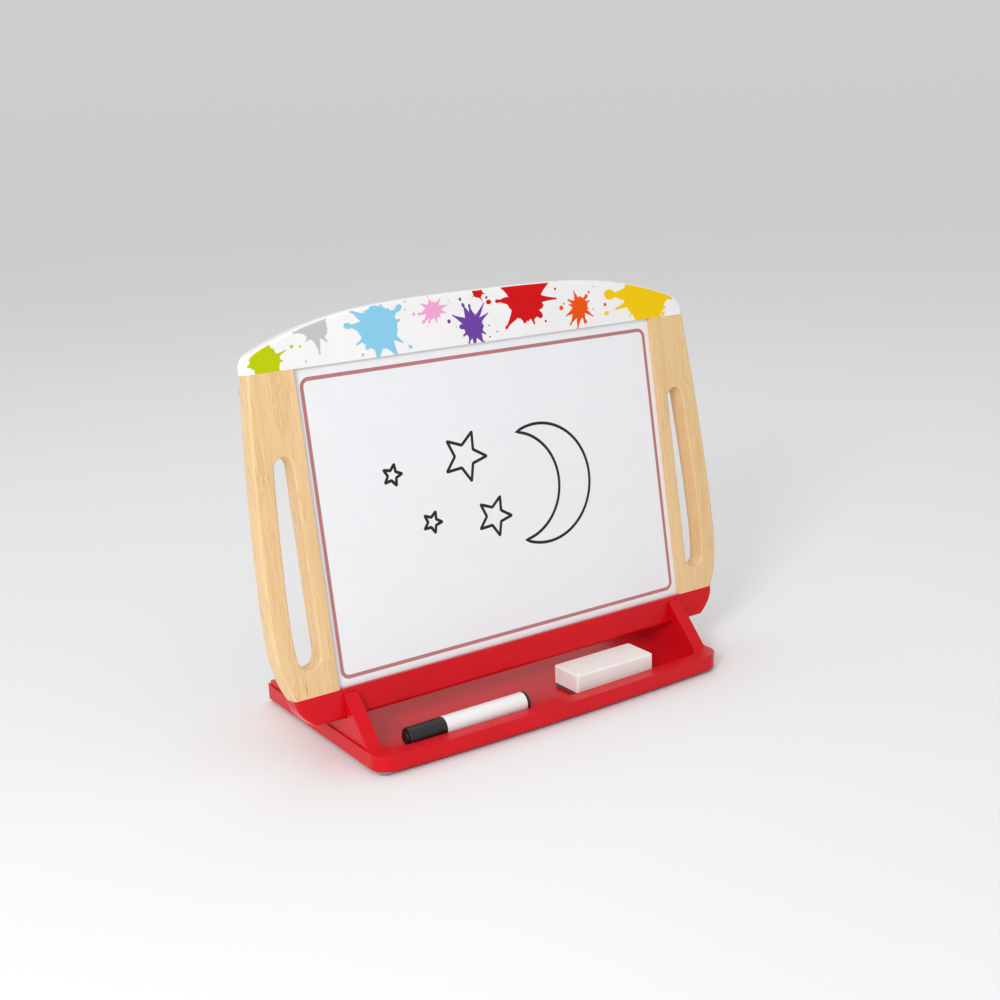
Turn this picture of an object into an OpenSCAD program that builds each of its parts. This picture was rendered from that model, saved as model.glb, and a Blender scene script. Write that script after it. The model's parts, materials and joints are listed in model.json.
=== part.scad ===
// Table-top drawing easel: a framed double-sided board that drops into two
// slotted gussets on a tray base, with a pen and a board eraser in the tray.
// Millimetres, +Z up, front towards -Y, origin at the middle of the footprint.

/* [Board] */
// Widest outside measurement of the board
board_w = 438; // [410:1:470]
// Height of the board along its own face
board_h = 309.5; // [295:0.5:330]
// Thickness of the wooden frame
board_t = 17; // [15:0.5:20]
// Backward lean of the board, in degrees
lean = 9.24; // [6:0.01:12]
// Height of the bottom rail
bottom_rail_h = 23; // [20:0.5:28]
// Width of the opening that shows the panel
opening_w = 340.8; // [330:0.2:346]
// Height up the board where the side rails meet the top rail
side_rail_top = 267.3; // [255:0.1:272]
// Drop of the arched top edge at its shoulders
arch_drop = 22.3; // [15:0.1:26]
// Inward curve of the side edges at their upper end
side_taper = 10.7; // [5:0.1:14]
// Inward curve of the side edges at their lower end
side_tuck = 11; // [5:0.1:14]

/* [Panel] */
// Depth of each panel face below the frame
panel_recess = 4; // [3:0.1:5]
// Thickness of each drawing sheet
sheet_t = 1; // [0.6:0.1:1.5]
// How far the panel runs into its groove
panel_bite = 5; // [3:0.1:5.5]

/* [Hand slots] */
// Distance from the middle of the board to the slot's inner wall
slot_in = 182; // [181:0.1:184]
// Width of wood left outside each slot
grip_w = 16.5; // [14:0.1:18]
// Lower end of the slot, up the board
slot_low = 44.4; // [40:0.1:60]
// Upper end of the slot, up the board
slot_high = 204.5; // [180:0.1:215]

/* [Base] */
// Width of the base plate
base_w = 340; // [338:0.5:350]
// Depth of the base plate at its middle
base_d = 192.7; // [185:0.1:210]
// Thickness of the base plate
base_t = 12.5; // [11:0.1:16]
// Forward bow of the front edge
front_bow = 4.7; // [2:0.1:8]
// Radius of the two front corners
front_corner_r = 15; // [8:0.5:18]
// Radius of the two rear corners
rear_corner_r = 4; // [2:0.5:6]

/* [Tray] */
// Width of the tray that is cut into the base
tray_w = 311; // [300:0.5:311]
// Depth of the tray below the top of the base
tray_depth = 7; // [4:0.1:8]
// Width of the lip in front of the tray
lip_w = 12; // [10:0.1:12]
// Distance from the front of the base to the rear wall of the tray
tray_rear = 127; // [110:0.5:135]
// Corner radius of the tray
tray_corner_r = 12; // [8:0.5:14]
// Width of the chalk groove behind the tray
chalk_groove_w = 8; // [6:0.1:9]
// Depth of the chalk groove
chalk_groove_depth = 3; // [2:0.1:4]

/* [Gussets] */
// Thickness of each gusset
gusset_t = 12.3; // [11:0.1:12.5]
// Distance from the middle of the base to a gusset's inner face
gusset_in = 156.2; // [156:0.1:156.8]
// Distance from the front of the base to a gusset's toe
gusset_toe = 23.5; // [20:0.1:26]
// Height of the slot bottom above the base plate, at the board's front face
slot_floor = 15.6; // [14:0.1:18]
// Height of the front wall of the slot, up the board
slot_front_h = 20.5; // [16:0.5:22]
// Height of the rear wall of the slot, up the board
slot_back_h = 27.5; // [24:0.5:32]
// Distance from the front of the base to a gusset's heel
gusset_heel = 188; // [180:0.5:188]

/* [Feet] */
// Height of a rubber foot
foot_h = 3.5; // [2.5:0.1:5]
// Radius of a foot where it meets the base
foot_r = 8; // [7:0.1:8.5]
// Radius of a foot's flat bottom
foot_flat_r = 5; // [4:0.1:6]
// Distance from the middle of the base to a foot
foot_x = 159.5; // [150:0.5:160]
// Distance from a foot to the nearer long edge of the base
foot_y = 14; // [14:0.5:16]

/* [Pen] */
// Radius of the pen's barrel and cap
pen_r = 8; // [7:0.1:8]
// Length of the cap
cap_len = 32.5; // [31:0.5:34]
// Length of the barrel
barrel_len = 75; // [70:0.5:80]
// Length of the end plug that shows
plug_len = 3; // [2:0.1:5]
// Left end of the cap, across the base
pen_x = -135; // [-140:0.5:-130]
// Distance from the front of the base to the pen's axis
pen_y = 23.4; // [23.3:0.1:26]

/* [Eraser] */
// Length of the eraser
eraser_l = 80.2; // [70:0.1:84]
// Width of the eraser
eraser_d = 32.5; // [28:0.5:34]
// Height of the eraser's block
block_h = 15.4; // [12:0.1:18]
// Thickness of the felt under the block
felt_t = 2.4; // [2:0.1:4]
// Left end of the eraser, across the base
eraser_x = 24.5; // [24:0.5:40]
// Gap between the tray's front rim and the eraser
eraser_gap = 4; // [0.5:0.5:6]

/* [Hidden] */
$fn = 64;

red = [0.83, 0.07, 0.13];
pine = [0.93, 0.79, 0.58];
white = [0.95, 0.95, 0.96];
ink_black = [0.06, 0.06, 0.07];

clear = 0.3;          // gap between pieces that come apart
snug = 0.05;          // gap round pieces that stay together

// where the board stands: its bottom front edge above the base plate
board_y = 54.4;
side_mid = 84;        // height of the board's widest point
board_end_u = board_w / 2 - side_taper;
arch_u = 190.5;       // where the arch has dropped by arch_drop

// stack of the panel, as depths behind the board's front face
core_front = panel_recess + sheet_t;
core_back = board_t - panel_recess - sheet_t;
panel_back = board_t - panel_recess;
panel_u = opening_w / 2 + panel_bite;
panel_low = bottom_rail_h - panel_bite;
panel_high = side_rail_top + panel_bite;

// rail dowels: two in each corner joint
rail_dowel_r = 3;
rail_dowel_len = 20;
rail_dowel_us = [183, 196];

// fixings of the gussets
gusset_mid = gusset_in + gusset_t / 2;
tip_cut = 1;
heel_h = 4;
screw_ys = [44, 100];
screw_len = 30;
screw_r = 1.9;
screw_head_r = 3.9;
screw_head_h = 2.4;
peg_ys = [66, 145];
peg_r = 3;
peg_len = 16;

// pen stations along its axis, from the cap's left end
cap_wall = 1.6;
cap_end_wall = 2;
barrel_start = cap_len + clear;
barrel_end = barrel_start + barrel_len;
barrel_bore_r = pen_r - 1.2;
spigot_r = pen_r - cap_wall - clear;
holder_tip = 14;
nib_r = 1.6;
nib_tip = 8.5;
reservoir_start = barrel_start + 6;
plug_spigot = 6;

function arc(c, r, a0, a1, steps) =
    [for (i = [0:steps]) let (a = a0 + (a1 - a0) * i / steps) c + r * [cos(a), sin(a)]];

// outside edge of the board at height v
function side_u(v) = v >= side_mid
    ? board_w / 2 - side_taper * pow((v - side_mid) / (side_rail_top - side_mid), 1.6)
    : board_w / 2 - side_tuck * pow((side_mid - v) / (side_mid - bottom_rail_h), 2.95);

// arched top edge at distance u from the middle
function arch_v(u) = board_h - arch_drop * pow(abs(u) / arch_u, 3.4);

// rounded shoulder between the arch and the side
shoulder = [[board_end_u - 8, arch_v(board_end_u - 8)], [board_end_u, arch_v(board_end_u)],
    [board_end_u, arch_v(board_end_u) - 9]];
function shoulder_at(t) = pow(1 - t, 2) * shoulder[0] + 2 * t * (1 - t) * shoulder[1]
    + t * t * shoulder[2];

function flipped(points) = [for (p = points) [-p[0], p[1]]];
function backwards(points) = [for (i = [len(points) - 1:-1:0]) points[i]];

function top_half() = concat(
    [[board_end_u, side_rail_top]],
    [for (t = [1:-0.125:0]) shoulder_at(t)],
    [for (u = [board_end_u - 14:-6:5]) [u, arch_v(u)]]);
function top_outline() = concat(top_half(), [[0, board_h]], flipped(backwards(top_half())));

function side_outline() = concat(
    [[opening_w / 2, side_rail_top], [opening_w / 2, bottom_rail_h]],
    [for (i = [0:28]) let (v = bottom_rail_h + (side_rail_top - bottom_rail_h) * i / 28)
        [side_u(v), v]]);

function bottom_end(v) = side_u(bottom_rail_h) - 15 * pow(1 - v / bottom_rail_h, 2.1);
function bottom_half() = [for (i = [0:10]) let (v = bottom_rail_h * pow(i / 10, 1.6))
    [bottom_end(v), v]];
function bottom_outline() = concat(bottom_half(), flipped(backwards(bottom_half())));

// hand slot: straight inner wall, outer wall that follows the side
function slot_out(v) = side_u(v) - grip_w;
slot_top_r = (slot_out(slot_high - 7) - slot_in) / 2;
slot_low_r = (slot_out(slot_low + 9) - slot_in) / 2;
function slot_outline() = concat(
    [for (i = [0:20]) let (v = slot_low + slot_low_r
        + (slot_high - slot_top_r - slot_low - slot_low_r) * i / 20) [slot_out(v), v]],
    arc([slot_in + slot_top_r, slot_high - slot_top_r], slot_top_r, 10, 180, 14),
    arc([slot_in + slot_low_r, slot_low + slot_low_r], slot_low_r, 180, 350, 14));

// front edge of the base, and of the tray behind its lip
function front_y(x) = front_bow * pow(x / (base_w / 2), 2);
function bowed_outline(half_w, y0, y1, front_r, rear_r) = let (cx = half_w - front_r) concat(
    [for (i = [-16:16]) let (x = cx * i / 16) [x, y0 + front_y(x)]],
    arc([cx, y0 + front_y(cx) + front_r], front_r, 276, 360, 10),
    arc([half_w - rear_r, y1 - rear_r], rear_r, 0, 90, 8),
    arc([-half_w + rear_r, y1 - rear_r], rear_r, 90, 180, 8),
    arc([-cx, y0 + front_y(cx) + front_r], front_r, 180, 264, 10));

function block_outline(l, d, r) = concat(arc([l - r, r], r, 270, 360, 6),
    arc([l - r, d - r], r, 0, 90, 6), arc([r, d - r], r, 90, 180, 6), arc([r, r], r, 180, 270, 6));

// board space: x across, z up the board's face, y back through its thickness
module on_board()
    translate([0, board_y - base_d / 2, foot_h + base_t + slot_floor])
        rotate([-lean, 0, 0]) children();

// plate space: origin on the base plate's top face, at the middle of its front edge
module on_plate()
    translate([0, -base_d / 2, foot_h + base_t]) children();

module slab(front, back)
    translate([0, back, 0]) rotate([90, 0, 0]) linear_extrude(back - front) children();

module panel_slab(front, back, margin = 0)
    slab(front, back)
        translate([-panel_u - margin, panel_low - margin])
            square([2 * (panel_u + margin), panel_high - panel_low + 2 * margin]);

module panel_groove() panel_slab(panel_recess - snug, panel_back + snug, snug);

module dowel(r, length)
    rotate_extrude() polygon([[0, 0], [r - 0.7, 0], [r, 0.7], [r, length - 0.7],
        [r - 0.7, length], [0, length]]);

// places something at both joints of every corner, standing across the joint
module at_rail_dowels()
    for (side = [-1, 1], u = rail_dowel_us, joint = [bottom_rail_h, side_rail_top])
        translate([side * u, board_t / 2, joint - rail_dowel_len / 2]) children();

module rail_dowel_holes()
    at_rail_dowels() translate([0, 0, -snug])
        cylinder(r = rail_dowel_r + snug, h = rail_dowel_len + 2 * snug);

module top_rail() color(white) on_board() difference() {
    slab(0, board_t) polygon(top_outline());
    panel_groove();
    rail_dowel_holes();
}

module side_rail(side) color(pine) on_board() difference() {
    mirror([side < 0 ? 1 : 0, 0, 0]) slab(0, board_t) difference() {
        polygon(side_outline());
        polygon(slot_outline());
    }
    panel_groove();
    rail_dowel_holes();
}

module left_rail() side_rail(-1);

module right_rail() side_rail(1);

module bottom_rail() color(red) on_board() difference() {
    slab(0, board_t) polygon(bottom_outline());
    panel_groove();
    rail_dowel_holes();
}

module rail_dowels() color(pine) on_board() at_rail_dowels() dowel(rail_dowel_r, rail_dowel_len);

module whiteboard_sheet() color(white) on_board() panel_slab(panel_recess, core_front);

module panel_core() color([0.72, 0.58, 0.42]) on_board() panel_slab(core_front, core_back);

module chalkboard_sheet() color([0.1, 0.11, 0.11]) on_board() panel_slab(core_back, panel_back);

module at_gusset_fixings(ys)
    for (side = [-1, 1], y = ys) translate([side * gusset_mid, y, 0]) children();

// wood screw, head down, its head flush with the underside of the base
module screw_shape(grow)
    rotate_extrude() polygon([[0, 0], [screw_head_r + grow, 0],
        [screw_r + grow, screw_head_h + grow], [screw_r + grow, screw_len - 4],
        [grow, screw_len + grow], [0, screw_len + grow]]);

module screw_holes() at_gusset_fixings(screw_ys) translate([0, 0, -base_t]) {
    translate([0, 0, -0.01]) screw_shape(snug);
    cylinder(r = screw_r + snug, h = screw_len);
}

module peg_holes() at_gusset_fixings(peg_ys)
    translate([0, 0, -peg_len / 2 - snug]) cylinder(r = peg_r + snug, h = peg_len + 2 * snug);

module base_plate() color(red) on_plate() difference() {
    translate([0, 0, -base_t]) linear_extrude(base_t)
        polygon(bowed_outline(base_w / 2, 0, base_d, front_corner_r, rear_corner_r));
    translate([0, 0, -tray_depth]) linear_extrude(tray_depth + 1)
        polygon(bowed_outline(tray_w / 2, lip_w, tray_rear, tray_corner_r, tray_corner_r));
    translate([0, tray_rear + 40, -chalk_groove_depth]) linear_extrude(chalk_groove_depth + 1) {
        square([tray_w - 22, chalk_groove_w], center = true);
        for (side = [-1, 1]) translate([side * (tray_w / 2 - 11), 0]) circle(d = chalk_groove_w);
    }
    screw_holes();
    peg_holes();
}

// board point at depth w and height v, seen in plate space from the side
function beside(w, v) = [board_y + v * sin(lean) + w * cos(lean),
    slot_floor + v * cos(lean) - w * sin(lean)];

// side view of a gusset: the toe slopes up to the slot's front wall, and the heel runs
// down behind the slot's taller rear wall; both tips are cut back a little
function gusset_outline() = [[gusset_toe, 0], beside(-clear, slot_front_h) - [tip_cut, tip_cut],
    beside(-clear, slot_front_h - tip_cut), beside(-clear, -clear),
    beside(board_t + clear, -clear), beside(board_t + clear, slot_back_h - tip_cut),
    beside(board_t + clear + tip_cut, slot_back_h), [gusset_heel, heel_h], [gusset_heel, 0]];

module gusset(side) color(red) on_plate() difference() {
    translate([side * gusset_mid - gusset_t / 2, 0, 0])
        rotate([90, 0, 90]) linear_extrude(gusset_t) polygon(gusset_outline());
    screw_holes();
    peg_holes();
}

module left_gusset() gusset(-1);

module right_gusset() gusset(1);

module gusset_screws() color("silver") on_plate() at_gusset_fixings(screw_ys)
    translate([0, 0, -base_t]) difference() {
        screw_shape(0);
        for (a = [0, 90]) rotate(a) translate([-2, -0.45, -1]) cube([4, 0.9, 2.4]);
    }

module gusset_dowels() color(pine) on_plate() at_gusset_fixings(peg_ys)
    translate([0, 0, -peg_len / 2]) dowel(peg_r, peg_len);

// self-adhesive bumper: a low dome with a flat end
module foot(side, row) color([0.85, 0.87, 0.88])
    translate([side * foot_x, row * (base_d / 2 - foot_y), 0])
        rotate_extrude() polygon(concat([[0, foot_h], [0, 0]],
            [for (i = [0:8]) let (a = 90 * i / 8)
                [foot_flat_r + (foot_r - foot_flat_r) * sin(a), foot_h * 0.8 * (1 - cos(a))]],
            [[foot_r, foot_h]]));

module foot_front_left() foot(-1, -1);

module foot_front_right() foot(1, -1);

module foot_rear_left() foot(-1, 1);

module foot_rear_right() foot(1, 1);

// pen space: the axis runs up z, from the cap's closed end to the end plug
module on_pen() on_plate()
    translate([pen_x, pen_y, pen_r + clear - tray_depth]) rotate([0, 90, 0]) children();

module marker_cap() color(ink_black) on_pen() rotate_extrude() polygon([
    [0, -1.5], [4.5, -1.5], [5, -1], [5, 0], [pen_r - 1, 0], [pen_r - 0.2, 0.8],
    [pen_r, cap_len - 2], [pen_r - 0.3, cap_len], [pen_r - cap_wall, cap_len],
    [pen_r - cap_wall, cap_end_wall], [0, cap_end_wall]]);

module marker_barrel() color(white) on_pen() translate([0, 0, barrel_start])
    rotate_extrude() polygon([[barrel_bore_r, 0], [pen_r - 0.4, 0], [pen_r, 0.4],
        [pen_r, barrel_len], [barrel_bore_r, barrel_len]]);

module marker_end_plug() color(ink_black) on_pen() translate([0, 0, barrel_end])
    rotate_extrude() polygon([[0, -plug_spigot], [barrel_bore_r - snug, -plug_spigot],
        [barrel_bore_r - snug, 0], [pen_r, 0], [pen_r, plug_len - 0.8],
        [pen_r - 0.8, plug_len], [0, plug_len]]);

// tapered front piece: a collar in the barrel, a spigot in the cap, a cone round the nib
module marker_nib_holder() color(ink_black) on_pen() rotate_extrude() polygon([
    [nib_r + snug, holder_tip], [nib_r + 1.2, holder_tip], [spigot_r - 1, holder_tip + 9],
    [spigot_r, holder_tip + 10], [spigot_r, barrel_start], [barrel_bore_r - snug, barrel_start],
    [barrel_bore_r - snug, reservoir_start - snug], [nib_r + snug, reservoir_start - snug]]);

module marker_nib() color([0.1, 0.1, 0.12]) on_pen() rotate_extrude() polygon([
    [0, nib_tip], [nib_r - 0.7, nib_tip + 0.4], [nib_r, nib_tip + 1.8],
    [nib_r, reservoir_start - snug], [0, reservoir_start - snug]]);

module marker_reservoir() color([0.25, 0.25, 0.28]) on_pen()
    translate([0, 0, reservoir_start])
        cylinder(r = barrel_bore_r - 0.4, h = barrel_end - plug_spigot - reservoir_start - snug);

// eraser space: its front left bottom corner, just above the floor of the tray
module on_eraser() on_plate()
    translate([eraser_x, lip_w + front_y(eraser_x + eraser_l) + eraser_gap, 0.2 - tray_depth])
        children();

module eraser_block() color(white) on_eraser() translate([0, 0, felt_t])
    linear_extrude(block_h) polygon(block_outline(eraser_l, eraser_d, 2.5));

module eraser_felt() color([0.16, 0.16, 0.17]) on_eraser()
    translate([0.6, 0.6, 0]) linear_extrude(felt_t)
        polygon(block_outline(eraser_l - 1.2, eraser_d - 1.2, 2));

top_rail();
left_rail();
right_rail();
bottom_rail();
rail_dowels();
whiteboard_sheet();
panel_core();
chalkboard_sheet();
base_plate();
left_gusset();
right_gusset();
gusset_screws();
gusset_dowels();
foot_front_left();
foot_front_right();
foot_rear_left();
foot_rear_right();
marker_cap();
marker_barrel();
marker_end_plug();
marker_nib_holder();
marker_nib();
marker_reservoir();
eraser_block();
eraser_felt();
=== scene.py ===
import json
import math

import bmesh
import bpy
from mathutils import Euler, Matrix, Vector


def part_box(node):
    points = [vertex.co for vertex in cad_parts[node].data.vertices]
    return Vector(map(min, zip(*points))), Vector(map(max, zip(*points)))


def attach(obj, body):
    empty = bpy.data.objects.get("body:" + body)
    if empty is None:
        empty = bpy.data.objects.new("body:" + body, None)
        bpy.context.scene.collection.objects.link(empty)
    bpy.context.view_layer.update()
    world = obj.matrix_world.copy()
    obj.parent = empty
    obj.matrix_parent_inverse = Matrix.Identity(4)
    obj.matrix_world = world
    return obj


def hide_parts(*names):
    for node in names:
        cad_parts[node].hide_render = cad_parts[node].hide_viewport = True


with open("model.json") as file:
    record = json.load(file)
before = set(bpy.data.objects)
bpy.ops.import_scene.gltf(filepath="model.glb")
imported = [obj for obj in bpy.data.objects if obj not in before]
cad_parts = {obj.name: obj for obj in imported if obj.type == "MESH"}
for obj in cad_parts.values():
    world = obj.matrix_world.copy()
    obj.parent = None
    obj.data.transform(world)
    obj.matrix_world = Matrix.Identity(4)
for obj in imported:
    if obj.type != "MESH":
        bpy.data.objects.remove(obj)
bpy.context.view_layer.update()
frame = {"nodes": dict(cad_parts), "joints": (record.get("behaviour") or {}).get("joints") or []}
print("frame loaded")

mm = 0.001

# board space is in millimetres: x across, y back through the thickness, z up the board's face
boardSizes = {"bottomRail": 23.0, "sideRailTop": 267.3, "opening": 170.4, "slotIn": 182.0,
              "slotOut": 206.0, "slotLow": 44.4, "slotHigh": 204.5}
liftAxis = next(j["axis"] for j in frame["joints"] if j["name"] == "board_lift")
boardLean = math.atan2(liftAxis[1], liftAxis[2])
railLow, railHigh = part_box("bottom_rail")
railRun = (railHigh.y - railLow.y) / mm - boardSizes["bottomRail"] * math.sin(boardLean)
boardDepth = railRun / math.cos(boardLean)
boardFoot = Vector((0, railLow.y, railLow.z + boardDepth * mm * math.sin(boardLean)))
boardTurn = Euler((-boardLean, 0, 0)).to_matrix()


def inBoard(point):
    return boardTurn.inverted() @ (Vector(point) - boardFoot) / mm


def fromBoard(across, depth, up):
    return boardFoot + boardTurn @ Vector((across, depth, up)) * mm


# node helpers: a value may be a number, a tuple or another node's output
def wire(tree, value, socket):
    if isinstance(value, bpy.types.NodeSocket):
        tree.links.new(value, socket)
    else:
        socket.default_value = value


def addNode(tree, kind, inputs=(), **settings):
    node = tree.nodes.new(kind)
    for key, value in settings.items():
        setattr(node, key, value)
    for key, value in dict(inputs).items():
        wire(tree, value, node.inputs[key])
    return node


def calc(tree, operation, *values):
    return addNode(tree, "ShaderNodeMath", enumerate(values), operation=operation).outputs[0]


def spread(tree, value, low, high, toLow=0.0, toHigh=1.0):
    node = addNode(tree, "ShaderNodeMapRange", {"Value": value, "From Min": low, "From Max": high,
                                                "To Min": toLow, "To Max": toHigh})
    return node.outputs["Result"]


def blendColour(tree, factor, first, second, how="MIX"):
    node = addNode(tree, "ShaderNodeMix", data_type="RGBA", blend_type=how)
    wire(tree, factor, node.inputs[0])
    wire(tree, first, node.inputs[6])
    wire(tree, second, node.inputs[7])
    return node.outputs[2]


def noise(tree, point, detail=3.0, roughness=0.5, distortion=0.0):
    node = addNode(tree, "ShaderNodeTexNoise", {"Vector": point, "Scale": 1.0, "Detail": detail,
                                                "Roughness": roughness, "Distortion": distortion})
    return node.outputs["Fac"]


def stretched(tree, point, size):
    scale = tuple(1 / s for s in size)
    return addNode(tree, "ShaderNodeMapping", {"Vector": point, "Scale": scale}).outputs["Vector"]


def placePoint(tree, foot=(0, 0, 0), lean=0.0):
    here = addNode(tree, "ShaderNodeTexCoord").outputs["Object"]
    node = addNode(tree, "ShaderNodeMapping", {"Vector": here, "Location": foot,
                                               "Rotation": (-lean, 0, 0), "Scale": (mm, mm, mm)},
                   vector_type="TEXTURE")
    return node.outputs["Vector"]


def boardPoint(tree):
    return placePoint(tree, boardFoot, boardLean)


def newFinish(name, colour, roughness, **sockets):
    material = bpy.data.materials.new(name)
    material.use_nodes = True
    tree = material.node_tree
    shader = tree.nodes["Principled BSDF"]
    shader.inputs["Base Color"].default_value = (*colour, 1)
    shader.inputs["Roughness"].default_value = roughness
    for key, value in sockets.items():
        shader.inputs[key.replace("_", " ")].default_value = value
    return material, tree, shader


def bump(tree, shader, height, depth, strength=1.0):
    node = addNode(tree, "ShaderNodeBump", {"Height": height, "Distance": depth * mm,
                                            "Strength": strength})
    tree.links.new(node.outputs["Normal"], shader.inputs["Normal"])


# pine: broad pale and honey bands, fine fibres and short darker pores, all running up the board
pine = {"pale": (0.80, 0.555, 0.275), "honey": (0.70, 0.415, 0.165), "late": (0.86, 0.635, 0.36),
        "pore": (0.40, 0.20, 0.08), "varnish": 0.25}


def pineFinish(name, seed):
    material, tree, shader = newFinish(name, pine["pale"], 0.42, Coat_Weight=pine["varnish"],
                                       Coat_Roughness=0.25)
    point = boardPoint(tree)
    shifted = addNode(tree, "ShaderNodeMapping", {"Vector": point,
                                                  "Location": (seed * 37, seed * 11, seed * 90)}).outputs[0]
    bands = noise(tree, stretched(tree, shifted, (11, 16, 190)), 4, 0.55, 0.6)
    rings = addNode(tree, "ShaderNodeTexWave", {"Vector": stretched(tree, shifted, (26, 40, 420)),
                                                "Scale": 1.0, "Distortion": 7.0, "Detail": 3.0,
                                                "Detail Scale": 1.2}, bands_direction="X").outputs["Fac"]
    fibre = noise(tree, stretched(tree, shifted, (0.55, 0.9, 26)), 4, 0.65, 0.2)
    pores = noise(tree, stretched(tree, shifted, (0.9, 1.2, 16)), 2, 0.5)
    patches = noise(tree, stretched(tree, shifted, (15, 20, 70)), 2, 0.5)
    tone = blendColour(tree, spread(tree, bands, 0.35, 0.68), (*pine["pale"], 1), (*pine["honey"], 1))
    ringed = blendColour(tree, calc(tree, "MULTIPLY", rings, 0.34), tone, (*pine["honey"], 1))
    fibred = blendColour(tree, spread(tree, fibre, 0.3, 0.72, 0, 0.7), ringed, (*pine["late"], 1))
    where = spread(tree, patches, 0.40, 0.62, 0.15, 0.75)
    specks = calc(tree, "MULTIPLY", spread(tree, pores, 0.58, 0.70), where)
    wire(tree, blendColour(tree, specks, fibred, (*pine["pore"], 1)), shader.inputs["Base Color"])
    wire(tree, spread(tree, fibre, 0.3, 0.7, 0.36, 0.5), shader.inputs["Roughness"])
    bump(tree, shader, calc(tree, "SUBTRACT", fibre, calc(tree, "MULTIPLY", specks, 0.6)), 0.09, 0.6)
    return material


lacquer = {"red": (0.66, 0.002, 0.010), "deep": (0.60, 0.001, 0.008), "gloss": 0.06, "sheen": 1.0,
           "sheenRoughness": 0.42, "sheenBend": 1.25, "ripple": 0.03}


def redFinish():
    material, tree, shader = newFinish("redLacquer", lacquer["red"], 0.2,
                                       Specular_IOR_Level=lacquer["gloss"], Coat_Weight=lacquer["sheen"],
                                       Coat_Roughness=lacquer["sheenRoughness"],
                                       Coat_IOR=lacquer["sheenBend"])
    point = placePoint(tree)
    cloud = noise(tree, stretched(tree, point, (60, 60, 60)), 3)
    tone = blendColour(tree, spread(tree, cloud, 0.3, 0.7), (*lacquer["red"], 1), (*lacquer["deep"], 1))
    wire(tree, tone, shader.inputs["Base Color"])
    haze = noise(tree, stretched(tree, point, (14, 14, 14)), 3)
    wire(tree, spread(tree, haze, 0.3, 0.7, 0.17, 0.26), shader.inputs["Roughness"])
    bump(tree, shader, noise(tree, stretched(tree, point, (2.6, 2.6, 2.6)), 2), lacquer["ripple"], 0.3)
    return material


# shares of a splash's reach, and the powers that make thick arms and big beads rare
splashShape = {"seedTurn": 0.137, "sway": 0.5, "longest": 0.95, "taper": 1.4, "thinArm": 0.12,
               "thickArm": 0.30, "tip": 0.022, "bead": 0.11, "beadRare": 2.5, "beadStretch": 0.55,
               "looseGap": 0.24, "loose": 0.06, "looseRare": 4.0, "grain": 0.16, "ragged": 0.34,
               "coreBlend": 0.07, "beadBlend": 0.04, "crisp": 0.006}


# one paint splash in millimetres: a ragged core, tapering arms with a bead at each tip, and loose drops
def splashGroup():
    group = bpy.data.node_groups.new("splash", "ShaderNodeTree")
    for title in ("Across", "Up", "Centre Across", "Centre Up", "Reach", "Arms", "Seed", "Core"):
        group.interface.new_socket(title, in_out="INPUT", socket_type="NodeSocketFloat")
    group.interface.new_socket("Mask", in_out="OUTPUT", socket_type="NodeSocketFloat")
    given = group.nodes.new("NodeGroupInput").outputs
    shape = splashShape

    def plus(first, second):
        return calc(group, "ADD", first, second)

    def minus(first, second):
        return calc(group, "SUBTRACT", first, second)

    def times(first, second):
        return calc(group, "MULTIPLY", first, second)

    x = calc(group, "DIVIDE", minus(given["Across"], given["Centre Across"]), given["Reach"])
    y = calc(group, "DIVIDE", minus(given["Up"], given["Centre Up"]), given["Reach"])
    far = calc(group, "SQRT", plus(times(x, x), times(y, y)))
    turn = calc(group, "DIVIDE", calc(group, "ARCTAN2", y, x), 2 * math.pi)
    turned = calc(group, "FRACT", plus(turn, times(given["Seed"], shape["seedTurn"])))
    steps = times(turned, given["Arms"])
    arm = calc(group, "FLOOR", steps)
    within = minus(minus(steps, arm), 0.5)
    seat = addNode(group, "ShaderNodeCombineXYZ", {0: arm, 1: given["Seed"]}).outputs[0]
    luck = addNode(group, "ShaderNodeTexWhiteNoise", {"Vector": seat}, noise_dimensions="3D").outputs["Color"]
    lots = addNode(group, "ShaderNodeSeparateColor", {"Color": luck}).outputs
    sway = times(minus(lots[1], 0.5), shape["sway"])
    angle = calc(group, "DIVIDE", times(plus(within, sway), 2 * math.pi), given["Arms"])
    along = times(far, calc(group, "COSINE", angle))
    aside = calc(group, "ABSOLUTE", times(far, calc(group, "SINE", angle)))
    length = plus(given["Core"], times(lots[0], minus(shape["longest"], given["Core"])))
    left = calc(group, "MAXIMUM", minus(1.0, calc(group, "DIVIDE", along, length)), 0.0)
    taper = calc(group, "POWER", left, shape["taper"])
    width = plus(times(taper, plus(shape["thinArm"], times(lots[2], shape["thickArm"]))), shape["tip"])
    limb = calc(group, "MAXIMUM", minus(aside, width), minus(along, length))

    def bead(distance, size):
        past = minus(along, distance)
        squares = plus(times(past, times(past, shape["beadStretch"])), times(aside, aside))
        return minus(calc(group, "SQRT", squares), size)

    tip = bead(length, times(calc(group, "POWER", lots[2], shape["beadRare"]), shape["bead"]))
    looseSize = times(calc(group, "POWER", lots[1], shape["looseRare"]), shape["loose"])
    loose = bead(plus(length, shape["looseGap"]), looseSize)
    spot = addNode(group, "ShaderNodeCombineXYZ", {0: x, 1: y, 2: given["Seed"]}).outputs[0]
    ragged = noise(group, stretched(group, spot, (shape["grain"], shape["grain"], 1)), 3, 0.6)
    core = minus(far, plus(given["Core"], times(minus(ragged, 0.5), shape["ragged"])))
    joined = calc(group, "SMOOTH_MIN", core, limb, shape["coreBlend"])
    beaded = calc(group, "SMOOTH_MIN", joined, tip, shape["beadBlend"])
    edge = calc(group, "MINIMUM", beaded, loose)
    mask = spread(group, edge, shape["crisp"], -shape["crisp"])
    wire(group, mask, group.nodes.new("NodeGroupOutput").inputs["Mask"])
    return group


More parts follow.
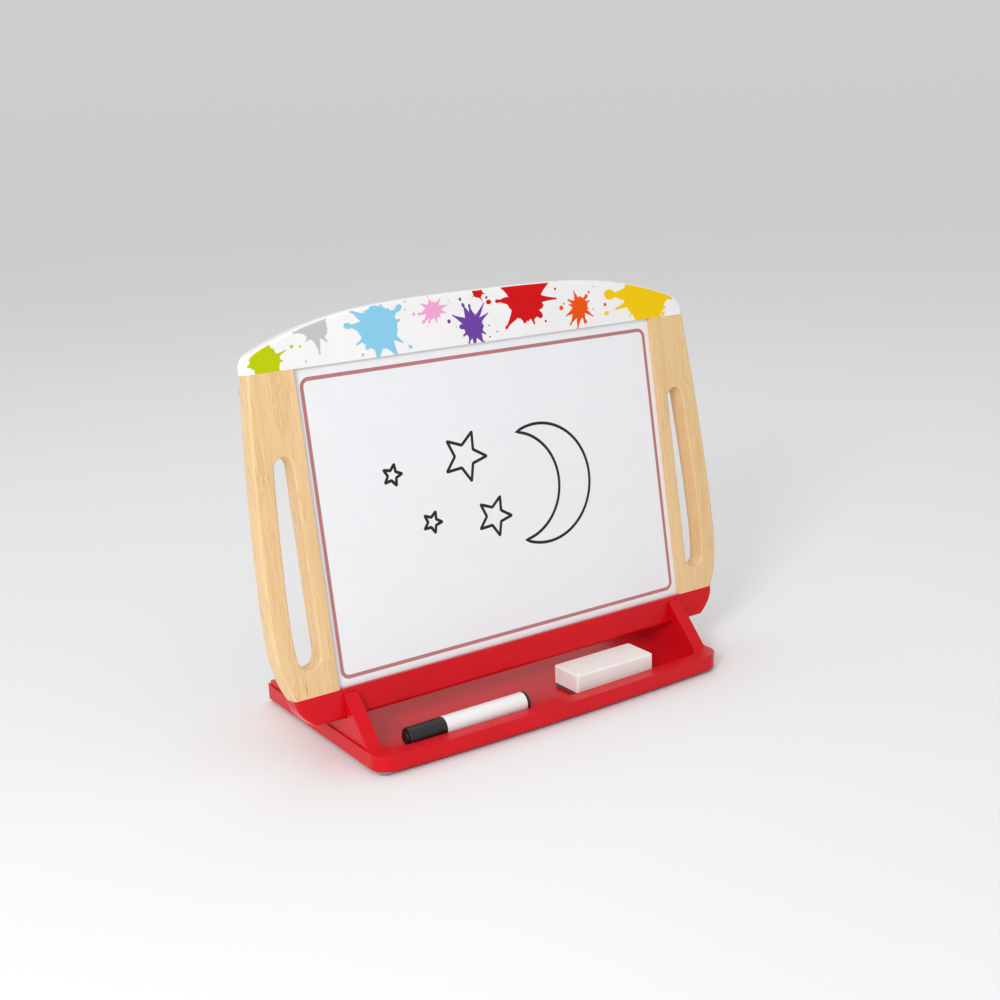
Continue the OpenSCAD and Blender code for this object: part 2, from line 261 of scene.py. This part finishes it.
# colour, centre across and up the board, reach in millimetres, arms, seed, share of the reach that is core
splashes = [
    ("lime", -192, 274.5, 22, 9, 3.0, 0.52),
    ("stone", -149, 295, 22, 9, 8.0, 0.45),
    ("sky", -95.6, 289, 32, 11, 46.0, 0.52),
    ("rose", -45, 297, 17, 11, 2.0, 0.38),
    ("violet", -10, 281, 22, 12, 7.0, 0.42),
    ("scarlet", -2, 307, 11, 6, 1.0, 0.42),
    ("scarlet", 43, 297, 34, 11, 45.0, 0.52),
    ("tangerine", 97, 285, 20, 12, 9.0, 0.38),
    ("sun", 169, 287, 42, 10, 16.0, 0.56),
]
paints = {
    "lime": (0.47, 0.56, 0.0), "stone": (0.50, 0.52, 0.50), "sky": (0.24, 0.57, 0.78),
    "rose": (0.82, 0.36, 0.62), "violet": (0.15, 0.05, 0.35), "scarlet": (0.62, 0.004, 0.006),
    "tangerine": (0.80, 0.085, 0.004), "sun": (0.86, 0.56, 0.0),
}
# loose round drops: colour, across, up, radius
drops = [("lime", -163, 283, 1.0), ("stone", -160, 271.5, 0.9), ("rose", -63, 296, 1.4),
         ("violet", -32, 287, 1.6), ("violet", 12, 274, 0.7), ("tangerine", 78, 286, 2.0),
         ("tangerine", 124, 284, 1.5), ("rose", -30, 303, 0.7), ("sky", -70, 300, 0.8),
         ("tangerine", 114, 300, 0.6), ("scarlet", 74, 302, 1.1)]


# faceIn is how far below a face the print ends, and edge how softly
printed = {"white": (0.86, 0.85, 0.84), "bright": (0.88, 0.87, 0.86), "dull": (0.83, 0.82, 0.82),
           "roughness": 0.38, "gloss": 0.12, "faceIn": 0.6, "faceFade": 0.1, "edge": 0.15}


def printedFinish():
    material, tree, shader = newFinish("printedWhite", printed["white"], printed["roughness"],
                                       Specular_IOR_Level=printed["gloss"])
    point = boardPoint(tree)
    parts = addNode(tree, "ShaderNodeSeparateXYZ", {"Vector": point}).outputs
    cloud = noise(tree, stretched(tree, point, (50, 50, 50)), 3)
    colour = blendColour(tree, spread(tree, cloud, 0.3, 0.7), (*printed["bright"], 1), (*printed["dull"], 1))
    group = splashGroup()
    # the print lies on the two flat faces and stops at the rounded arrises
    offMiddle = calc(tree, "ABSOLUTE", calc(tree, "SUBTRACT", parts[1], boardDepth / 2))
    printEnd = boardDepth / 2 - printed["faceIn"]
    onFace = spread(tree, offMiddle, printEnd, printEnd + printed["faceFade"])
    for paint, across, up, reach, arms, seed, core in splashes:
        node = addNode(tree, "ShaderNodeGroup", node_tree=group)
        settings = {"Across": parts[0], "Up": parts[2], "Centre Across": across, "Centre Up": up,
                    "Reach": reach, "Arms": arms, "Seed": seed, "Core": core}
        for title, value in settings.items():
            wire(tree, value, node.inputs[title])
        mask = calc(tree, "MULTIPLY", node.outputs["Mask"], onFace)
        colour = blendColour(tree, mask, colour, (*paints[paint], 1))
    flat = addNode(tree, "ShaderNodeCombineXYZ", {0: parts[0], 2: parts[2]}).outputs[0]
    for paint, across, up, radius in drops:
        gap = addNode(tree, "ShaderNodeVectorMath", {0: flat, 1: (across, 0, up)},
                      operation="DISTANCE").outputs["Value"]
        dot = spread(tree, gap, radius + printed["edge"], radius - printed["edge"])
        mask = calc(tree, "MULTIPLY", dot, onFace)
        colour = blendColour(tree, mask, colour, (*paints[paint], 1))
    wire(tree, colour, shader.inputs["Base Color"])
    bump(tree, shader, noise(tree, stretched(tree, point, (2.2, 2.2, 2.2)), 2), 0.03, 0.3)
    return material


sheetPrint = {"halfWidth": 166.0, "low": 28.5, "high": 260.0, "line": 3.0, "corner": 6.0,
              "border": (0.46, 0.165, 0.17), "white": (0.84, 0.845, 0.87), "smear": (0.826, 0.831, 0.858),
              "edge": 0.12}


def whiteboardFinish():
    material, tree, shader = newFinish("dryWipeWhite", sheetPrint["white"], 0.2, Coat_Weight=0.5,
                                       Coat_Roughness=0.08)
    point = boardPoint(tree)
    parts = addNode(tree, "ShaderNodeSeparateXYZ", {"Vector": point}).outputs
    corner = sheetPrint["corner"]
    middle = (sheetPrint["high"] + sheetPrint["low"]) / 2
    inset = sheetPrint["line"] / 2 + corner
    sideways = calc(tree, "SUBTRACT", calc(tree, "ABSOLUTE", parts[0]), sheetPrint["halfWidth"] - inset)
    upward = calc(tree, "SUBTRACT", calc(tree, "ABSOLUTE", calc(tree, "SUBTRACT", parts[2], middle)),
                  (sheetPrint["high"] - sheetPrint["low"]) / 2 - inset)
    outX, outY = calc(tree, "MAXIMUM", sideways, 0.0), calc(tree, "MAXIMUM", upward, 0.0)
    outside = calc(tree, "SQRT", calc(tree, "ADD", calc(tree, "MULTIPLY", outX, outX),
                                      calc(tree, "MULTIPLY", outY, outY)))
    inside = calc(tree, "MINIMUM", calc(tree, "MAXIMUM", sideways, upward), 0.0)
    gap = calc(tree, "ABSOLUTE", calc(tree, "SUBTRACT", calc(tree, "ADD", outside, inside), corner))
    half = sheetPrint["line"] / 2
    line = spread(tree, gap, half + sheetPrint["edge"], half - sheetPrint["edge"])
    smears = noise(tree, stretched(tree, point, (40, 40, 22)), 4, 0.6, 0.8)
    ground = blendColour(tree, spread(tree, smears, 0.35, 0.7), (*sheetPrint["white"], 1),
                         (*sheetPrint["smear"], 1))
    wire(tree, blendColour(tree, line, ground, (*sheetPrint["border"], 1)), shader.inputs["Base Color"])
    wire(tree, spread(tree, smears, 0.3, 0.7, 0.16, 0.27), shader.inputs["Roughness"])
    bump(tree, shader, noise(tree, stretched(tree, point, (6, 6, 6)), 2), 0.02, 0.25)
    return material


chalk = {"black": (0.019, 0.020, 0.020), "dust": (0.13, 0.132, 0.13), "roughness": 0.82, "gloss": 0.35}


def chalkFinish():
    material, tree, shader = newFinish("chalkBlack", chalk["black"], chalk["roughness"],
                                       Specular_IOR_Level=chalk["gloss"])
    point = boardPoint(tree)
    wiped = noise(tree, stretched(tree, point, (70, 70, 26)), 5, 0.62, 1.4)
    dust = noise(tree, stretched(tree, point, (0.5, 0.5, 0.5)), 2, 0.6)
    swept = spread(tree, wiped, 0.42, 0.78, 0, 0.5)
    haze = calc(tree, "MULTIPLY", swept, spread(tree, dust, 0.3, 0.7, 0.5, 1))
    tone = blendColour(tree, haze, (*chalk["black"], 1), (*chalk["dust"], 1))
    wire(tree, tone, shader.inputs["Base Color"])
    bump(tree, shader, dust, 0.05, 0.6)
    return material


def plasticFinish(name, colour, roughness, grain, depth, fade=0.88):
    material, tree, shader = newFinish(name, colour, roughness)
    point = placePoint(tree)
    texture = noise(tree, stretched(tree, point, (grain, grain, grain)), 2)
    cloud = noise(tree, stretched(tree, point, (9, 9, 9)), 3)
    darker = tuple(c * fade for c in colour)
    tone = blendColour(tree, spread(tree, cloud, 0.3, 0.7), (*colour, 1), (*darker, 1))
    wire(tree, tone, shader.inputs["Base Color"])
    wire(tree, spread(tree, cloud, 0.3, 0.7, roughness * 0.88, roughness * 1.15), shader.inputs["Roughness"])
    bump(tree, shader, texture, depth, 0.4)
    return material


foam = {"clean": (0.90, 0.90, 0.875), "dull": (0.86, 0.855, 0.83), "roughness": 0.75, "glow": 0.12,
        "glowReach": (0.004, 0.003, 0.002)}


def eraserFinish():
    material, tree, shader = newFinish("eraserFoam", foam["clean"], foam["roughness"],
                                       Subsurface_Weight=foam["glow"], Subsurface_Radius=foam["glowReach"])
    point = placePoint(tree)
    cells = addNode(tree, "ShaderNodeTexVoronoi", {"Vector": stretched(tree, point, (0.7, 0.7, 0.7)),
                                                   "Scale": 1.0}).outputs["Distance"]
    cloud = noise(tree, stretched(tree, point, (7, 7, 7)), 4, 0.6)
    tone = blendColour(tree, spread(tree, cloud, 0.35, 0.7), (*foam["clean"], 1), (*foam["dull"], 1))
    wire(tree, tone, shader.inputs["Base Color"])
    bump(tree, shader, calc(tree, "ADD", cells, cloud), 0.07, 0.4)
    return material


def feltFinish(name, colour):
    material, tree, shader = newFinish(name, colour, 0.95, Sheen_Weight=0.5, Sheen_Roughness=0.5)
    point = placePoint(tree)
    fuzz = noise(tree, stretched(tree, point, (0.35, 0.35, 0.7)), 4, 0.7, 1.5)
    paler = tuple(c * 3 + 0.02 for c in colour)
    tone = blendColour(tree, spread(tree, fuzz, 0.4, 0.75), (*colour, 1), (*paler, 1))
    wire(tree, tone, shader.inputs["Base Color"])
    bump(tree, shader, fuzz, 0.2, 0.8)
    return material


rubber = {"clear": (0.86, 0.89, 0.91), "roughness": 0.18, "through": 0.75, "bend": 1.47}


def rubberFinish():
    material, tree, shader = newFinish("clearRubber", rubber["clear"], rubber["roughness"],
                                       Transmission_Weight=rubber["through"], IOR=rubber["bend"])
    point = placePoint(tree)
    cloud = noise(tree, stretched(tree, point, (2.5, 2.5, 2.5)), 3)
    wire(tree, spread(tree, cloud, 0.3, 0.7, 0.12, 0.3), shader.inputs["Roughness"])
    bump(tree, shader, cloud, 0.05, 0.3)
    return material


zinc = {"dark": (0.62, 0.61, 0.57), "bright": (0.82, 0.80, 0.73), "roughness": 0.34}


def screwFinish():
    material, tree, shader = newFinish("zincPlate", zinc["dark"], zinc["roughness"], Metallic=1.0)
    point = placePoint(tree)
    grain = noise(tree, stretched(tree, point, (0.25, 0.25, 0.8)), 3)
    tone = blendColour(tree, grain, (*zinc["dark"], 1), (*zinc["bright"], 1))
    wire(tree, tone, shader.inputs["Base Color"])
    wire(tree, spread(tree, grain, 0.3, 0.7, 0.26, 0.44), shader.inputs["Roughness"])
    bump(tree, shader, grain, 0.02, 0.4)
    return material


fibreboard = {"dark": (0.28, 0.17, 0.085), "pale": (0.45, 0.30, 0.17), "roughness": 0.9}


def fibreboardFinish():
    material, tree, shader = newFinish("fibreboard", fibreboard["dark"], fibreboard["roughness"])
    fluff = noise(tree, stretched(tree, placePoint(tree), (0.6, 0.6, 0.6)), 4, 0.7)
    tone = blendColour(tree, fluff, (*fibreboard["dark"], 1), (*fibreboard["pale"], 1))
    wire(tree, tone, shader.inputs["Base Color"])
    bump(tree, shader, fluff, 0.1, 0.5)
    return material


finishes = {
    "pineLeft": pineFinish("pineLeft", 1.0), "pineRight": pineFinish("pineRight", 2.6),
    "pineDowel": pineFinish("pineDowel", 4.2), "red": redFinish(), "printed": printedFinish(),
    "whiteboard": whiteboardFinish(), "chalk": chalkFinish(),
    "black": plasticFinish("blackPlastic", (0.012, 0.012, 0.013), 0.36, 0.5, 0.03),
    "white": plasticFinish("whitePlastic", (0.87, 0.87, 0.87), 0.27, 0.8, 0.004, 0.97),
    "eraser": eraserFinish(), "felt": feltFinish("blackFelt", (0.008, 0.008, 0.009)),
    "inkFibre": feltFinish("inkFibre", (0.012, 0.012, 0.016)), "rubber": rubberFinish(),
    "screw": screwFinish(), "fibreboard": fibreboardFinish(),
    "inkLine": plasticFinish("inkLine", (0.004, 0.004, 0.005), 0.6, 1.2, 0.02),
}
print("finishes made")


def setFinish(piece, finish):
    piece.data.materials.clear()
    piece.data.materials.append(finishes[finish])


def newPiece(name, bm, finish, body, replaced=()):
    mesh = bpy.data.meshes.new(name)
    bm.to_mesh(mesh)
    bm.free()
    piece = bpy.data.objects.new(name, mesh)
    bpy.context.scene.collection.objects.link(piece)
    setFinish(piece, finish)
    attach(piece, body)
    if replaced:
        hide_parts(*replaced)
    return piece


# smooth shading that stays flat on flat faces and breaks at true corners
def smoothed(piece, sharpAngle=38):
    for face in piece.data.polygons:
        face.use_smooth = True
    piece.data.set_sharp_from_angle(angle=math.radians(sharpAngle))
    weighted = piece.modifiers.new("weighted", "WEIGHTED_NORMAL")
    weighted.keep_sharp = True
    weighted.weight = 80
    return piece


# a joiner's copy of a CAD part: the same solid with its arrises taken off
# share(edge) says how much of the full radius an edge gets, from 0 to 1
def easedPiece(name, node, radius, share, finish, body, segments=4):
    bm = bmesh.new()
    bm.from_mesh(frame["nodes"][node].data)
    bmesh.ops.remove_doubles(bm, verts=bm.verts, dist=0.002 * mm)
    bmesh.ops.dissolve_limit(bm, angle_limit=math.radians(0.6), verts=bm.verts, edges=bm.edges)
    weights = bm.edges.layers.float.new("bevel_weight_edge")
    for edge in bm.edges:
        if len(edge.link_faces) == 2 and edge.calc_face_angle() > math.radians(24):
            if edge.is_convex and edge.calc_length() > 0.45 * mm:
                edge[weights] = share([vert.co for vert in edge.verts])
    piece = newPiece(name, bm, finish, body, [node])
    bevel = piece.modifiers.new("arris", "BEVEL")
    bevel.width = radius * mm
    bevel.segments = segments
    bevel.limit_method = "WEIGHT"
    bevel.profile = 0.5
    bevel.use_clamp_overlap = True
    return smoothed(piece)


near = 0.06     # millimetres within which a point counts as on a face
rails = {"arris": 2.6, "openingShare": 0.32, "slotShare": 0.62}


def railShare(ends):
    spots = [inBoard(end) for end in ends]
    if not (all(abs(s.y) < near for s in spots) or all(abs(s.y - boardDepth) < near for s in spots)):
        return 0
    for joint in (boardSizes["bottomRail"], boardSizes["sideRailTop"]):
        if all(abs(s.z - joint) < near for s in spots):
            return 0
    if all(abs(abs(s.x) - boardSizes["opening"]) < near for s in spots):
        return rails["openingShare"]
    if all(boardSizes["slotIn"] - near < abs(s.x) < boardSizes["slotOut"] for s in spots):
        if all(boardSizes["slotLow"] - near < s.z < boardSizes["slotHigh"] + near for s in spots):
            return rails["slotShare"]
    return 1


for node, finish, slot in (("top_rail", "printed", "printed_top"), ("left_rail", "pineLeft", "pine"),
                           ("right_rail", "pineRight", "pine"), ("bottom_rail", "red", "red_lacquer")):
    easedPiece(node + "_rounded", node, rails["arris"], railShare, finish, "board", 5)
print("rails done")


plateLow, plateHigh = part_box("base_plate")
# sideStrip and endStrip: how far in from the plate's outline an edge still counts as an outer edge
base = {"arris": 1.8, "trayRim": 0.75, "chalkRim": 0.25, "sideStrip": 16, "endStrip": 6, "chalkStrip": 40}


def plateShare(ends):
    low = all(abs(end.z - plateLow.z) < near * mm for end in ends)
    high = all(abs(end.z - plateHigh.z) < near * mm for end in ends)
    if low or high:
        if any(abs(end.x) > plateHigh.x - base["sideStrip"] * mm
               or end.y < plateLow.y + base["endStrip"] * mm
               or end.y > plateHigh.y - base["endStrip"] * mm for end in ends):
            return 1
    if not high:
        return 0
    behind = min(end.y for end in ends) > plateHigh.y - base["chalkStrip"] * mm
    return base["chalkRim"] if behind else base["trayRim"]


easedPiece("base_plate_rounded", "base_plate", base["arris"], plateShare, "red", "base", 5)

gussets = {"arris": 1.1, "crossShare": 0.35, "crossLength": 5}


def gussetShare(ends):
    if all(end.z < plateHigh.z + near * mm for end in ends):
        return 0
    across = abs(ends[0].x - ends[1].x)
    return gussets["crossShare"] if across > gussets["crossLength"] * mm else 1


for side in ("left", "right"):
    easedPiece(side + "_gusset_rounded", side + "_gusset", gussets["arris"], gussetShare, "red", "base",
               4)
print("base done")

eraser = {"arris": 0.9, "feltArris": 0.5}
easedPiece("eraser_block_rounded", "eraser_block", eraser["arris"], lambda ends: 1, "eraser", "eraser",
           3)
easedPiece("eraser_felt_rounded", "eraser_felt", eraser["feltArris"], lambda ends: 1, "felt", "eraser",
           3)


# turned pieces: a profile of (radius, height) spun about an upright or lying axis
def turnedPiece(name, profile, place, finish, body, replaced, steps=72):
    bm = bmesh.new()
    verts = [bm.verts.new((r * mm, 0, h * mm)) for r, h in profile]
    edges = [bm.edges.new(pair) for pair in zip(verts, verts[1:])]
    bmesh.ops.spin(bm, geom=verts + edges, cent=(0, 0, 0), axis=(0, 0, 1), angle=2 * math.pi,
                   steps=steps, use_merge=True)
    bmesh.ops.remove_doubles(bm, verts=bm.verts, dist=0.001 * mm)
    bmesh.ops.transform(bm, matrix=place, verts=bm.verts)
    bmesh.ops.recalc_face_normals(bm, faces=bm.faces)
    piece = newPiece(name, bm, finish, body, replaced)
    return smoothed(piece, 32)


def arc(centre, radius, start, end, steps):
    turns = [math.radians(start + (end - start) * i / steps) for i in range(steps + 1)]
    return [(centre[0] + radius * math.cos(t), centre[1] + radius * math.sin(t)) for t in turns]


capLow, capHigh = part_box("marker_cap")
barrelLow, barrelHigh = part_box("marker_barrel")
plugLow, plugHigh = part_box("marker_end_plug")
penAxis = Vector((0, (barrelLow.y + barrelHigh.y) / 2, (barrelLow.z + barrelHigh.z) / 2))
penRadius = (barrelHigh.y - barrelLow.y) / 2 / mm
pen = {"capTab": 1.5, "capWall": 1.6, "capEndWall": 2.0, "barrelWall": 1.2, "round": 1.3, "grooves": 3}


def alongPen(start):
    return Matrix.Translation((start, penAxis.y, penAxis.z)) @ Matrix.Rotation(math.pi / 2, 4, "Y")


def capProfile():
    length = (capHigh.x - capLow.x) / mm - pen["capTab"]
    bore = penRadius - pen["capWall"]
    outside = [(0, -pen["capTab"])] + arc((4.3, -0.8), 0.7, -90, 0, 5) + [(5, 0)]
    outside += arc((penRadius - 0.2 - pen["round"], pen["round"]), pen["round"], -90, 0, 6)
    for ring in range(pen["grooves"]):      # moulded finger rings near the open rim
        at = length - 8 + ring * 1.7
        outside += [(penRadius - 0.12, at - 0.5), (penRadius - 0.4, at), (penRadius - 0.12, at + 0.5)]
    outside += [(penRadius - 0.05, length - 2.6)]
    outside += arc((penRadius - 0.5, length - 0.5), 0.5, 0, 90, 5)
    return outside + [(bore + 0.3, length), (bore, length - 0.3), (bore, pen["capEndWall"] + 0.6),
                      (bore - 0.6, pen["capEndWall"]), (0, pen["capEndWall"])]


def barrelProfile():
    length = (barrelHigh.x - barrelLow.x) / mm
    bore = penRadius - pen["barrelWall"]
    return [(bore, 0)] + arc((penRadius - 0.5, 0.5), 0.5, -90, 0, 5) + \
        arc((penRadius - 0.25, length - 0.25), 0.25, 0, 90, 3) + [(bore, length), (bore, 0)]


def plugProfile():
    length = (plugHigh.x - plugLow.x) / mm
    shown = (plugHigh.x - barrelHigh.x) / mm
    spigot = penRadius - pen["barrelWall"] - 0.05
    return [(0, 0), (spigot - 0.5, 0), (spigot, 0.5), (spigot, length - shown),
            (penRadius - 0.15, length - shown), (penRadius, length - shown + 0.15)] + \
        arc((penRadius - 0.9, length - 0.9), 0.9, 0, 90, 6) + \
        [(penRadius - 2.4, length), (penRadius - 2.8, length - 0.5), (0, length - 0.5)]


turnedPiece("marker_cap_turned", capProfile(), alongPen(capLow.x + pen["capTab"] * mm), "black", "marker_cap",
            ["marker_cap"])
turnedPiece("marker_barrel_turned", barrelProfile(), alongPen(barrelLow.x), "white", "marker",
            ["marker_barrel"])
turnedPiece("marker_end_plug_turned", plugProfile(), alongPen(plugLow.x), "black", "marker",
            ["marker_end_plug"])
print("pen done")

feet = {"flat": 5.0, "dish": 0.35}


def footProfile(low, high):
    radius, height = (high.x - low.x) / 2 / mm, (high.z - low.z) / mm
    dome = [(feet["flat"] + (radius - feet["flat"]) * math.sin(math.radians(9 * i)),
             height * 0.8 * (1 - math.cos(math.radians(9 * i)))) for i in range(11)]
    return [(0, feet["dish"]), (2.2, feet["dish"]), (3.0, 0.05)] + dome + [(radius, height), (0, height)]


for foot in ("foot_front_left", "foot_front_right", "foot_rear_left", "foot_rear_right"):
    low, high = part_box(foot)
    place = Matrix.Translation(((low.x + high.x) / 2, (low.y + high.y) / 2, low.z))
    turnedPiece(foot + "_dome", footProfile(low, high), place, "rubber", "base", [foot],
                steps=48)
print("feet done")

# CAD pieces that are good enough as they are
kept = {"whiteboard_sheet": "whiteboard", "chalkboard_sheet": "chalk", "panel_core": "fibreboard",
        "rail_dowels": "pineDowel", "gusset_dowels": "pineDowel", "gusset_screws": "screw",
        "marker_nib_holder": "black", "marker_nib": "inkFibre", "marker_reservoir": "inkFibre"}
for node, finish in kept.items():
    setFinish(frame["nodes"][node], finish)

# pen drawing on the white sheet: flattened strokes in board space
ink = {"line": 2.5, "proud": 0.12, "sheetFront": 4.0, "softCorner": 0.7, "starWaist": 0.46}
stars = [(-98.7, 175.6, 8.7, -18), (-31, 179.4, 20.6, -26), (-68.5, 133, 8.8, -26), (-10, 127, 16.6, -26)]
moon = {"top": (20.4, 191.1), "low": (17.4, 101.8), "outer": 70.6, "inner": 38.9}


def starOutline(across, up, radius, turn):
    points = []
    for i in range(10):
        reach = radius if i % 2 == 0 else radius * ink["starWaist"]
        angle = math.radians(90 + turn + 36 * i)
        points.append(Vector((across + reach * math.cos(angle), up + reach * math.sin(angle))))
    return rounded(points, ink["softCorner"])


# turns each corner of a closed outline into a short curve
def rounded(points, reach):
    soft = []
    for before, corner, after in zip(points[-1:] + points[:-1], points, points[1:] + points[:1]):
        start = corner + (before - corner).normalized() * reach
        end = corner + (after - corner).normalized() * reach
        soft += [tuple(start.lerp(corner, t).lerp(corner.lerp(end, t), t)) for t in (0, 0.25, 0.5, 0.75, 1)]
    return soft


# round stroke from one tip to the other, bulging right by the given amount
def bulge(depth, steps):
    top, low = Vector(moon["top"]), Vector(moon["low"])
    half = (top - low).length / 2
    radius = (half * half + depth * depth) / (2 * depth)
    middle, outward = (top + low) / 2, Vector((top.y - low.y, low.x - top.x)).normalized()
    centre = middle + outward * (depth - radius)
    start = math.atan2(*(top - centre).yx)
    end = math.atan2(*(low - centre).yx)
    return [tuple(centre + radius * Vector((math.cos(start + (end - start) * i / steps),
                                            math.sin(start + (end - start) * i / steps))))
            for i in range(steps + 1)]


def inkStroke(name, outlines):
    curve = bpy.data.curves.new(name, "CURVE")
    curve.dimensions = "3D"
    curve.bevel_depth = ink["line"] / 2
    curve.bevel_resolution = 2
    for points in outlines:
        spline = curve.splines.new("POLY")
        spline.points.add(len(points) - 1)
        for spot, (across, up) in zip(spline.points, points):
            spot.co = (across, up, 0, 1)
        spline.use_cyclic_u = True
    holder = bpy.data.objects.new(name + "_path", curve)
    bpy.context.scene.collection.objects.link(holder)
    bpy.context.view_layer.update()
    mesh = bpy.data.meshes.new_from_object(holder.evaluated_get(bpy.context.evaluated_depsgraph_get()))
    bpy.data.objects.remove(holder)
    bm = bmesh.new()
    bm.from_mesh(mesh)
    flat = 2 * ink["proud"] / ink["line"]
    for vert in bm.verts:
        across, up, out = vert.co
        vert.co = fromBoard(across, ink["sheetFront"] - out * flat, up)
    bmesh.ops.recalc_face_normals(bm, faces=bm.faces)
    return newPiece(name, bm, "inkLine", "board")


smoothed(inkStroke("drawn_stars", [starOutline(*star) for star in stars]), 60)
smoothed(inkStroke("drawn_moon", [bulge(moon["outer"], 44) + bulge(moon["inner"], 36)[::-1][1:-1]]), 60)
print("drawing done")


# pale floor and soft studio light; the far floor and the lowest sky have the same brightness
studio = {"floor": (0.86, 0.86, 0.865), "floorPatch": (0.88, 0.88, 0.885), "floorHalf": 40,
          "skyLow": 0.61, "skyHigh": 0.70, "skyTop": 0.6, "lampAim": (0, 0, 0.12)}


def floorFinish():
    material, tree, shader = newFinish("paleFloor", studio["floor"], 0.7, Specular_IOR_Level=0.2)
    cloud = noise(tree, stretched(tree, placePoint(tree), (300, 300, 300)), 2)
    tone = blendColour(tree, cloud, (*studio["floor"], 1), (*studio["floorPatch"], 1))
    wire(tree, tone, shader.inputs["Base Color"])
    return material


bm = bmesh.new()
bmesh.ops.create_grid(bm, x_segments=1, y_segments=1, size=studio["floorHalf"])
floorMesh = bpy.data.meshes.new("floor")
bm.to_mesh(floorMesh)
bm.free()
floor = bpy.data.objects.new("floor", floorMesh)
bpy.context.scene.collection.objects.link(floor)
floor.data.materials.append(floorFinish())

lamps = {
    "leftSoftbox": {"at": (-1.45, -1.05, 1.0), "size": (0.5, 0.5), "power": 17.5},
    "topSoftbox": {"at": (0.1, 0.5, 2.0), "size": (1.6, 1.6), "power": 6},
}
for name, box in lamps.items():
    data = bpy.data.lights.new(name, "AREA")
    data.shape = "RECTANGLE"
    data.size, data.size_y = box["size"]
    data.energy = box["power"]
    lamp = bpy.data.objects.new(name, data)
    lamp.location = box["at"]
    toAim = Vector(studio["lampAim"]) - Vector(box["at"])
    lamp.rotation_euler = toAim.to_track_quat("-Z", "Y").to_euler()
    bpy.context.scene.collection.objects.link(lamp)

world = bpy.data.worlds.new("studio")
world.use_nodes = True
sky = world.node_tree
facingOut = addNode(sky, "ShaderNodeTexCoord").outputs["Generated"]
upward = addNode(sky, "ShaderNodeSeparateXYZ", {0: facingOut}).outputs[2]
brightness = spread(sky, upward, 0.0, studio["skyTop"], studio["skyLow"], studio["skyHigh"])
wire(sky, brightness, sky.nodes["Background"].inputs["Color"])
bpy.context.scene.world = world
bpy.context.scene.view_settings.view_transform = "Standard"

view = {"aim": (0.0046, -0.0044, 0.1644), "azimuth": 34.1, "height": 15.4, "roll": -2.0, "distance": 1.18,
        "lens": 51.7, "sensor": 36}
azimuth, height = math.radians(view["azimuth"]), math.radians(view["height"])
forward = Vector((math.sin(azimuth) * math.cos(height), math.cos(azimuth) * math.cos(height),
                  -math.sin(height)))
cameraData = bpy.data.cameras.new("camera")
cameraData.lens = view["lens"]
cameraData.sensor_width = view["sensor"]
camera = bpy.data.objects.new("camera", cameraData)
camera.location = Vector(view["aim"]) - forward * view["distance"]
facing = forward.to_track_quat("-Z", "Y").to_matrix() @ Matrix.Rotation(math.radians(view["roll"]), 3, "Z")
camera.rotation_euler = facing.to_euler()
bpy.context.scene.collection.objects.link(camera)
bpy.context.scene.camera = camera
print("studio done")
